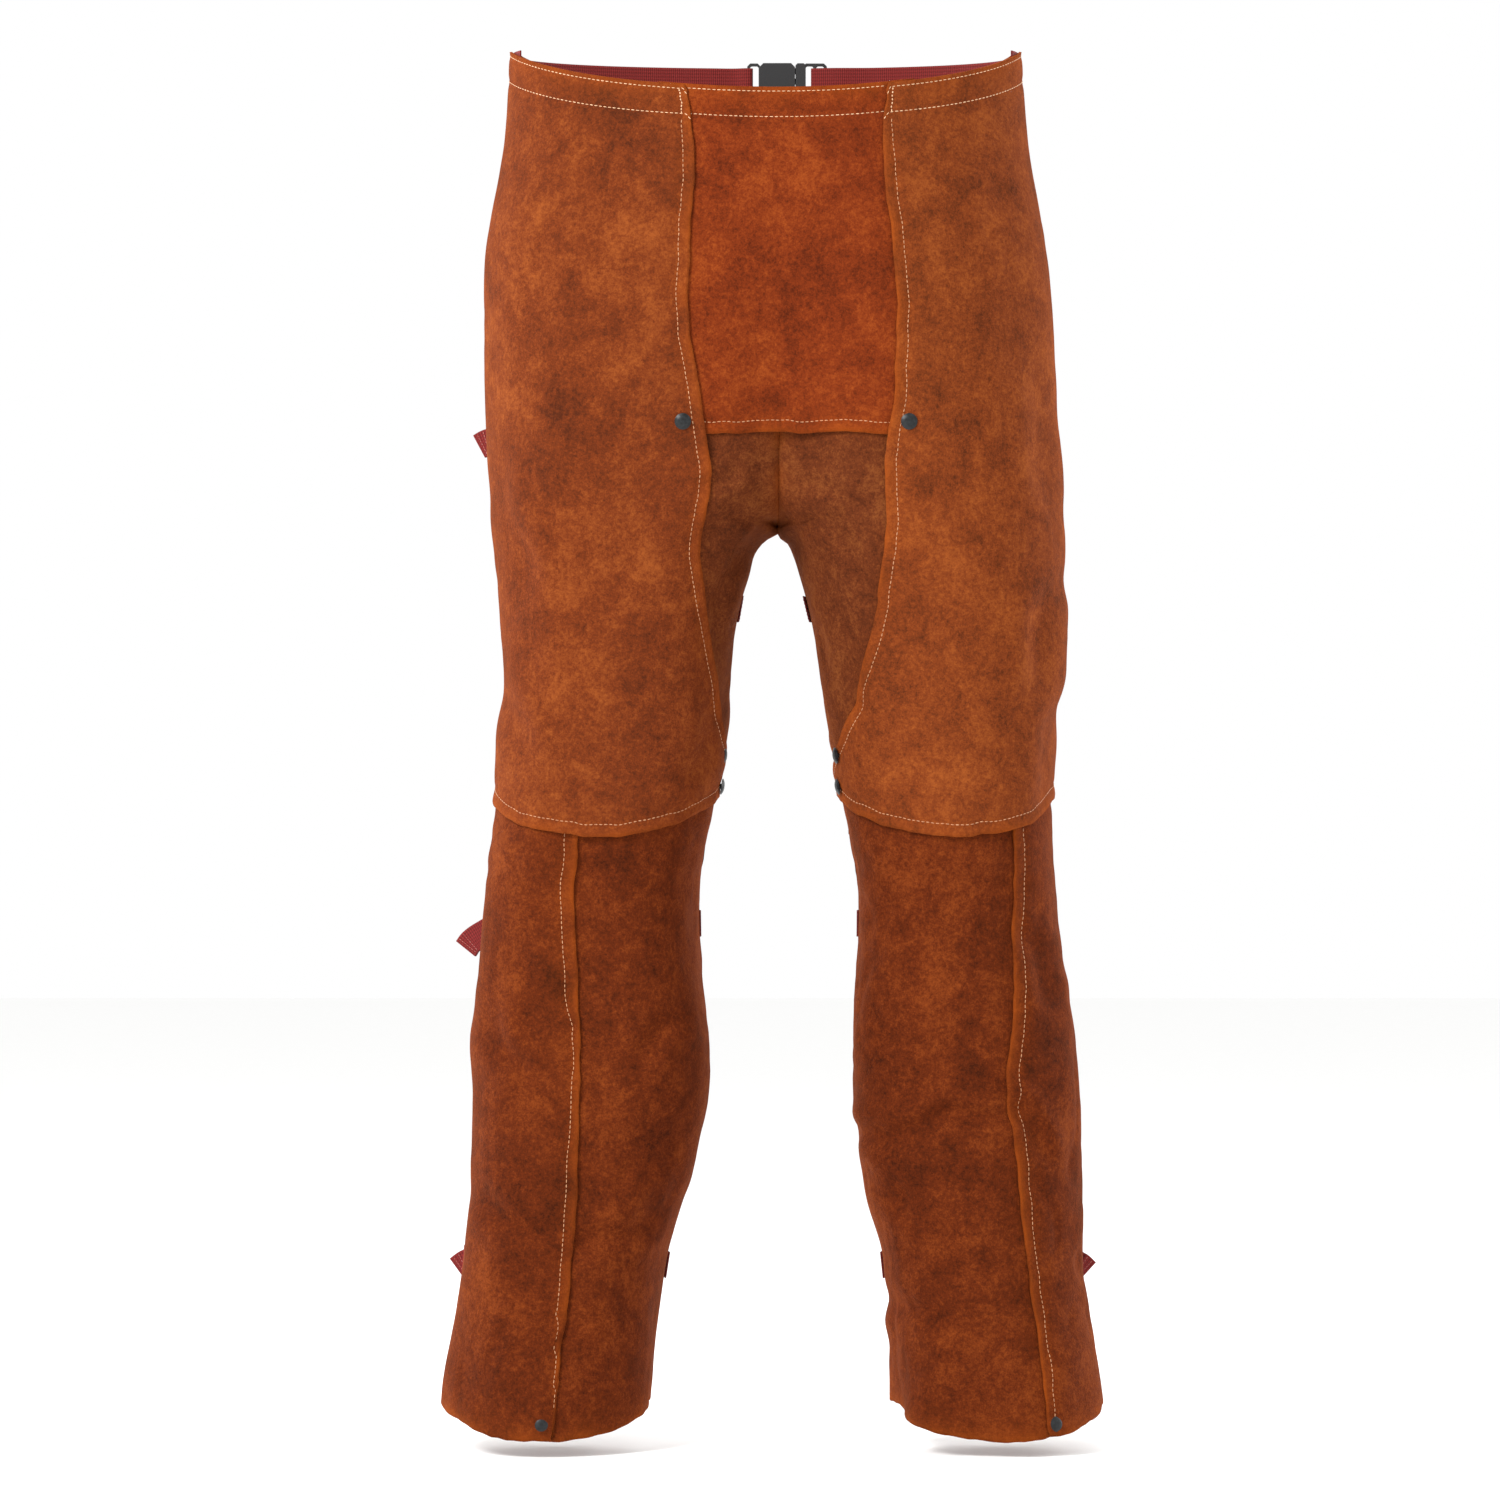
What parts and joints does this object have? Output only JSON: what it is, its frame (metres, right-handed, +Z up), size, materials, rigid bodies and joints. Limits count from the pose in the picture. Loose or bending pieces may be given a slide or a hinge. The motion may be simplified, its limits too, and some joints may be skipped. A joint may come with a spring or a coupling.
{
  "type": "welding apron",
  "caption": "Open-back split-leg welding apron of suede hide with lapped panels, domed rivets, elastic leg straps on wire slide buckles and a waist belt.",
  "frame": {"origin": "middle of the waist opening, 12 mm below the top edge at the hips", "axes": "+Z up the body, front faces -Y, the wearer's left is +X"},
  "size_m": [0.4856, 0.2203, 1.0216],
  "materials": {
    "suede_hide": "napped suede",
    "elastic_webbing": "ribbed weave",
    "gunmetal_wire": "gunmetal, satin",
    "blacked_rivet": "black lacquer",
    "steel_burr": "plain",
    "moulded_buckle": "moulded"
  },
  "bodies": {
    "root": {"centre_panel": "suede_hide", "waistband_facing": "suede_hide", "right_thigh_panel": "suede_hide", "right_crotch_panel": "suede_hide", "right_outer_shin_panel": "suede_hide", "right_inner_shin_panel": "suede_hide", "right_thigh_strap": "elastic_webbing", "right_thigh_strap_tab": "elastic_webbing", "right_knee_strap": "elastic_webbing", "right_knee_strap_tab": "elastic_webbing", "right_ankle_strap": "elastic_webbing", "right_ankle_strap_tab": "elastic_webbing", "right_waist_belt": "elastic_webbing", "right_bib_rivet": "blacked_rivet", "right_bib_burr": "steel_burr", "right_fork_rivet": "blacked_rivet", "right_fork_burr": "steel_burr", "right_knee_rivet": "blacked_rivet", "right_knee_burr": "steel_burr", "right_ankle_rivet": "blacked_rivet", "right_ankle_burr": "steel_burr", "left_thigh_panel": "suede_hide", "left_crotch_panel": "suede_hide", "left_outer_shin_panel": "suede_hide", "left_inner_shin_panel": "suede_hide", "left_thigh_strap": "elastic_webbing", "left_thigh_strap_tab": "elastic_webbing", "left_knee_strap": "elastic_webbing", "left_knee_strap_tab": "elastic_webbing", "left_ankle_strap": "elastic_webbing", "left_ankle_strap_tab": "elastic_webbing", "left_waist_belt": "elastic_webbing", "left_bib_rivet": "blacked_rivet", "left_bib_burr": "steel_burr", "left_fork_rivet": "blacked_rivet", "left_fork_burr": "steel_burr", "left_knee_rivet": "blacked_rivet", "left_knee_burr": "steel_burr", "left_ankle_rivet": "blacked_rivet", "left_ankle_burr": "steel_burr", "waist_buckle_housing": "moulded_buckle"},
    "right_thigh_buckle": {"right_thigh_buckle": "gunmetal_wire"},
    "right_knee_buckle": {"right_knee_buckle": "gunmetal_wire"},
    "right_ankle_buckle": {"right_ankle_buckle": "gunmetal_wire"},
    "left_thigh_buckle": {"left_thigh_buckle": "gunmetal_wire"},
    "left_knee_buckle": {"left_knee_buckle": "gunmetal_wire"},
    "left_ankle_buckle": {"left_ankle_buckle": "gunmetal_wire"},
    "waist_buckle_tongue": {"waist_buckle_tongue": "moulded_buckle"}
  },
  "joints": [
    {"name": "right_thigh_buckle_tilt", "type": "hinge", "parent": "root", "child": "right_thigh_buckle", "pos_m": [-0.20232, 0.05936, -0.26811], "axis": [0, 0, 1], "range_deg": [-40, 75], "deforming": ["right_thigh_strap"]},
    {"name": "right_knee_buckle_tilt", "type": "hinge", "parent": "root", "child": "right_knee_buckle", "pos_m": [-0.20802, 0.05617, -0.62809], "axis": [0, 0, 1], "range_deg": [-40, 75], "deforming": ["right_knee_strap"]},
    {"name": "right_ankle_buckle_tilt", "type": "hinge", "parent": "root", "child": "right_ankle_buckle", "pos_m": [-0.22407, 0.04991, -0.88388], "axis": [0, 0, 1], "range_deg": [-40, 75], "deforming": ["right_ankle_strap"]},
    {"name": "left_thigh_buckle_tilt", "type": "hinge", "parent": "root", "child": "left_thigh_buckle", "pos_m": [0.19392, 0.05939, -0.26799], "axis": [0, 0, -1], "range_deg": [-40, 75], "deforming": ["left_thigh_strap"]},
    {"name": "left_knee_buckle_tilt", "type": "hinge", "parent": "root", "child": "left_knee_buckle", "pos_m": [0.19876, 0.05626, -0.62808], "axis": [0, 0, -1], "range_deg": [-40, 75], "deforming": ["left_knee_strap"]},
    {"name": "left_ankle_buckle_tilt", "type": "hinge", "parent": "root", "child": "left_ankle_buckle", "pos_m": [0.21742, 0.04995, -0.88386], "axis": [0, 0, -1], "range_deg": [-40, 75], "deforming": ["left_ankle_strap"]},
    {"name": "waist_buckle_release", "type": "slide", "parent": "root", "child": "waist_buckle_tongue", "axis": [1, 0, 0], "range_m": [0, 0.035], "deforming": ["left_waist_belt"]}
  ]
}
